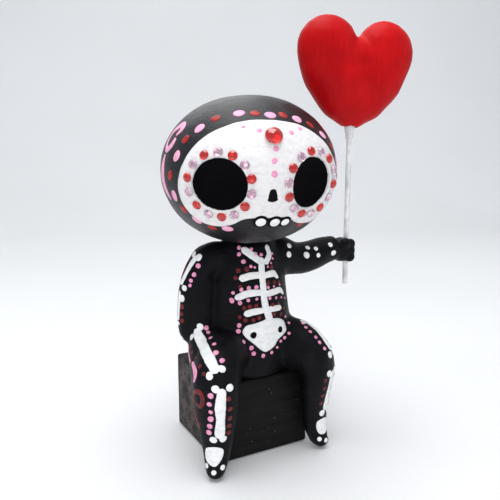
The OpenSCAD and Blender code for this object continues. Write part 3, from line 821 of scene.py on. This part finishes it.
beside = skin.seenFrom(-45, 10)
for bone in armMarks["bones"]:
    stroke(skin, "bone", beside, bone)
dots(skin, "bone", beside, armMarks["knobs"], 1.15)
stroke(skin, "darkRed", beside, armMarks["redLine"])
dots(skin, "pink", beside, armMarks["pink"], 0.75)
dots(skin, "darkRed", beside, armMarks["darkRed"], 0.92)
dots(skin, "bone", front, armMarks["leftDots"], 0.95)

legMarks = (
    {"look": (-30, 12),
     "bones": (((-14.5, 42.5, 2), (-11.9, 39.2, 2.1), (-9.3, 36, 2.1), (-7.3, 33.1, 1.9)),),
     "knobs": ((-13.7, 45, 1.45), (-16.8, 41.3, 1.3), (-4.8, 32.9), (-8.9, 30.6)),
     "pink": ((-11.4, 44.7, 1), (-10.6, 43.3, 0.85), (-9.5, 41.9, 0.8), (-7.9, 40.3, 0.8), (-7.1, 37.8, 1.1),
              (-4.8, 35.4, 1)),
     "darkRed": ((-16.8, 38.1, 0.7), (-16.1, 36.4, 0.7), (-14.4, 34.8, 0.8), (-12.4, 33.2, 0.85),
                 (-10.9, 31, 0.85)),
     "curls": (("pink", ((-18, 38.3, 0.3), (-17.6, 35.3, 0.5), (-16.7, 33.2, 0.4))),
               ("pink", ((-15.3, 32.6, 1), (-14.1, 30.7, 1.35), (-14.4, 28.1, 0.6))),
               ("darkRed", ((-14.7, 21.3, 0.8), (-14.2, 24.5, 0.9), (-12.1, 24.6, 1), (-11.2, 21.9, 0.9),
                            (-12.2, 19.7, 0.8), (-13.6, 20.6, 0.5))),
               ("darkRed", ((-14.4, 17.4, 0.8), (-13.9, 14.5, 1), (-13.1, 12.9, 0.9), (-13.3, 11, 0.6))))},
    {"look": (-30, 0),
     "bones": (((-4.7, 33.7, 1.7), (-5.2, 28.4, 2.05), (-5.2, 23.8, 1.65), (-5.6, 18.2, 2)),),
     "knobs": ((-6.8, 35.2), (-2, 35.3), (-7.9, 15.7, 1.4), (-4.5, 16.1, 1.4)),
     "foot": ((-10.3, 12.2), (-7.3, 13), (-4.8, 12.3), (-4.4, 10.4), (-5.3, 7.8), (-7.1, 5.9), (-8.9, 6),
              (-10.6, 7.3), (-10.9, 10)),
     "toes": ((-10.4, 5.3, 1), (-7.8, 3.9, 1), (-4.7, 5.2, 1.1)),
     "pink": ((-8.4, 32.9), (-8.9, 29.8, 0.95), (-8.5, 26.8, 0.85), (-8.6, 24, 1.2), (-9, 21), (-9.4, 18.4)),
     "darkRed": ((-2.4, 31.5), (-2, 27.6), (-2.1, 24, 1), (-2.4, 20.9, 1), (-2.6, 18.1, 1))},
    {"look": (30, 35),
     "bones": (((7.6, 24, 1.4), (7.2, 19, 1.4), (6.8, 13, 1.4)),),
     "knobs": ((9, 25.6), (6.2, 25.8), (8.4, 11), (5, 10.4)),
     "pink": ((4.4, 25.3, 0.75), (3.3, 23.5, 0.75), (2.8, 21.4, 0.75), (3, 18.6, 0.75), (2.9, 16.3, 0.8),
              (3.2, 13.5, 0.8)),
     "darkRed": ((11.4, 23, 0.7), (11.2, 20.4, 0.7), (11, 17.8, 0.75), (10.8, 15.2, 0.75),
                 (10.6, 12.6, 0.75))},
    {"look": (30, 0),
     "bones": (((5.6, 30.2, 1.9), (5.2, 24, 1.9), (4.6, 17.6, 1.8)),),
     "knobs": ((3, 31.4), (7.4, 31.4), (2.9, 15.2), (6.6, 15.4)),
     "foot": ((1.2, 12), (3.4, 12.9), (6, 12.2), (7.2, 9.8), (6.8, 7.4), (4.8, 6.4), (2.5, 6.6), (1.3, 9)),
     "toes": ((2.3, 4.6, 1), (4.6, 3.6, 1.05), (7, 4.6, 1)),
     "pink": ((9, 29), (9.3, 26), (9.2, 23), (9, 20), (8.8, 17.4)),
     "darkRed": ((1.2, 29.1, 0.75), (1.4, 25.9, 0.8), (1.3, 22.9, 0.8), (1.4, 19.7, 0.8))})

for marks in legMarks:
    look = skin.seenFrom(*marks["look"])
    for bone in marks["bones"]:
        stroke(skin, "bone", look, bone)
    dots(skin, "bone", look, marks["knobs"], 1.45)
    dots(skin, "pink", look, marks["pink"], 1.1)
    dots(skin, "darkRed", look, marks["darkRed"], 0.95)
    for colour, line in marks.get("curls", ()):
        stroke(skin, colour, look, line)
    if "foot" in marks:
        blob(skin, "bone", look, marks["foot"])
        dots(skin, "bone", look, marks["toes"], 1.1)
print("body painted")

headCanvas = Canvas(headSkin)
faceCanvas = Canvas(faceSkin)
headMarks = {
    "band": ((-30, -44), (-44, -44), (-55, -37), (-63, -28), (-68, -17), (-69, -1), (-63, 14), (-59, 27),
             (-50, 36), (-40, 45), (-21, 50), (-7, 50), (6, 48), (18, 48), (30, 44), (42, 39), (52, 30),
             (60, 20), (66, 8), (69, -5), (67, -18), (59, -31), (49, -40), (34, -42)),
    "ovals": (1.6, 1.4),
    "hook": ((-72, 27, 0.9), (-74, 21.5, 1.2), (-80, 18, 1.1), (-85, 24, 0.8), (-83, 33, 1), (-75, 39, 1.5),
             (-70, 35, 1.2), (-73, 30, 0.5)),
    "tail": ((-80, 14, 0.5), (-82, 6, 1.6), (-82.5, -4, 2), (-80, -13, 1.5), (-76, -21, 0.5)),
    "brow": ((-5.5, 33, 0.85), (16.5, 31, 0.95), (-16, 36, 0.6), (25, 34, 0.75)),
    "middle": ((3.8, 19.5, 1), (2.2, 11, 1.05), (2, 2, 1.15)),
    "nose": ((1.5, -9.3, 1.1), (1.6, -12.5, 1.5), (1.7, -16, 1.8)),
    "teeth": ((-4.3, -33.8, 1.95), (6, -34.6, 1.9), (14, -34.8, 1.65))}

for k, (lon, lat) in enumerate(headMarks["band"]):
    place = headCanvas.onHead(lon, lat)
    after = headCanvas.onHead(*headMarks["band"][(k + 1) % len(headMarks["band"])])[0]
    across = Vector((0, 0, 1)).cross(place[1]).normalized()
    way = after - place[0]
    lean = math.degrees(math.atan2(way.dot(place[1].cross(across)), way.dot(across)))
    radius = headMarks["ovals"][k % 2] * (1 if lon < 35 else 0.88)
    dot(headCanvas, ("palePink", "red")[k % 2], place, radius, long=1.28, angle=lean, height=0.22, points=16)
for flip in (1, -1):
    for line in ("hook", "tail"):
        stroke(headCanvas, "palePink", lambda lon, lat: headCanvas.onHead(lon * flip, lat), headMarks[line],
               step=0.9)
dots(faceCanvas, "pink", faceCanvas.onHead, headMarks["brow"] + headMarks["middle"], 0.8, height=0.12)
for lon, lat, radius in headMarks["teeth"]:
    parts = {"black": (radius + 0.7, 0.8, 0.6), "bone": (radius, 1.1, 0.7)}
    for layer, (wide, tall, base) in parts.items():
        dome = [[wide * math.cos(math.radians(a)), base + tall * math.sin(math.radians(a)) * 0.55]
                for a in range(0, 91, 15)]
        piece = lathe([[0, -0.3], [wide, -0.3]] + dome, 20, faceFrame(lon, lat)
                      @ Matrix.Diagonal((0.96, 1, 1, 1)))
        layers[layer] = joined([layers[layer], piece])
stroke(faceCanvas, "black", faceCanvas.onHead, headMarks["nose"], height=0.14, step=0.6)
for name, bm in layers.items():
    addObject(name + "Marks", bm, paints[name], "figure")
print("head painted")


# pieces inside

inside = {
    "seat_dowel": rawMaterial("dowelWood", (0.5, 0.33, 0.18), (0.66, 0.47, 0.28), 1, (900, 900, 90), 0.6),
    "torso_core": rawMaterial("foil", (0.5, 0.5, 0.52), (0.85, 0.85, 0.87), 500, (1, 1, 1), 0.25, 1.0),
    "head_core": rawMaterial("paperPulp", (0.55, 0.5, 0.42), (0.75, 0.71, 0.62), 350, (1, 1, 1), 0.85)}
inside["heart_core"] = inside["head_core"]
steel = rawMaterial("steelWire", (0.45, 0.45, 0.46), (0.62, 0.62, 0.63), 1, (2000, 2000, 2000), 0.35, 1.0)
for name in ("neck_wire", "arm_wire", "leg_wire"):
    inside[name] = steel
for name, material in inside.items():
    nodes[name].data.materials.clear()
    nodes[name].data.materials.append(material)
for name, node in nodes.items():
    if name not in inside:
        node.data.materials.clear()
        node.data.materials.append(bodyBlack)
print("pieces inside made")


# floor and light

stage = {"wide": 3.0, "near": -1.6, "bend": 0.42, "curve": 0.4, "tall": 1.6, "turn": -24, "below": 0.0002,
         "colour": (0.82, 0.825, 0.83), "shade": 0.97, "sky": (0.9, 0.94, 1.0), "skyPower": 0.55}

bm = bmesh.new()
curve = stage["curve"]
sweep = [(stage["near"], 0)] + [(stage["bend"] + curve * math.sin(math.radians(a)),
                                 curve - curve * math.cos(math.radians(a))) for a in range(0, 91, 6)]
sweep.append((stage["bend"] + curve, stage["tall"]))
line = [bm.verts.new((-stage["wide"], y, z - stage["below"])) for y, z in sweep]
edges = [bm.edges.new(pair) for pair in zip(line, line[1:])]
grown = bmesh.ops.extrude_edge_only(bm, edges=edges)
bmesh.ops.translate(bm, vec=(2 * stage["wide"], 0, 0),
                    verts=[v for v in grown["geom"] if isinstance(v, bmesh.types.BMVert)])
bmesh.ops.rotate(bm, verts=bm.verts, cent=(0, 0, 0),
                 matrix=Matrix.Rotation(math.radians(stage["turn"]), 3, "Z"))
bmesh.ops.recalc_face_normals(bm, faces=bm.faces)
mesh = bpy.data.meshes.new("floor")
bm.to_mesh(mesh)
bm.free()
for polygon in mesh.polygons:
    polygon.use_smooth = True
s = Shader("floorPaper")
weave = s.cloud(900, 2, (1, 1, 1)) + s.cloud(1, 2, (1400, 120, 1)) * 0.5
paperTone = s.cloud(5, 2).between(0.3, 0.7).blend(stage["colour"],
                                                  tuple(c * stage["shade"] for c in stage["colour"]))
mesh.materials.append(s.finish(paperTone, 0.7 + s.cloud(300, 2) * 0.1, weave, 0.08))
floor = bpy.data.objects.new("floor", mesh)
bpy.context.scene.collection.objects.link(floor)

world = bpy.data.worlds.new("studio")
bpy.context.scene.world = world
world.use_nodes = True
world.node_tree.nodes["Background"].inputs["Color"].default_value = rgba(stage["sky"])
world.node_tree.nodes["Background"].inputs["Strength"].default_value = stage["skyPower"]

lamps = {"overhead": {"at": (-0.05, -0.05, 0.75), "size": 0.55, "power": 4.6, "aim": (0, 0, 0.06),
                      "shine": True},
         "window": {"at": (-0.5, -0.8, 0.35), "size": 0.5, "power": 3.2, "aim": (0, 0, 0.08), "shine": False},
         "rim": {"at": (0.05, 0.38, 0.5), "size": 0.4, "power": 1.0, "aim": (0, 0, 0.1), "shine": True,
                 "fill": False}}
for name, lamp in lamps.items():
    data = bpy.data.lights.new(name, "AREA")
    data.shape = "SQUARE"
    data.size = lamp["size"]
    data.energy = lamp["power"]
    lampObject = bpy.data.objects.new(name, data)
    lampObject.location = lamp["at"]
    lampObject.visible_glossy = lamp["shine"]
    lampObject.visible_diffuse = lamp.get("fill", True)
    away = Vector(lamp["at"]) - Vector(lamp["aim"])
    lampObject.rotation_euler = away.to_track_quat("Z", "Y").to_euler()
    bpy.context.scene.collection.objects.link(lampObject)

bpy.context.scene.view_settings.view_transform = "Standard"
print("floor and light made")
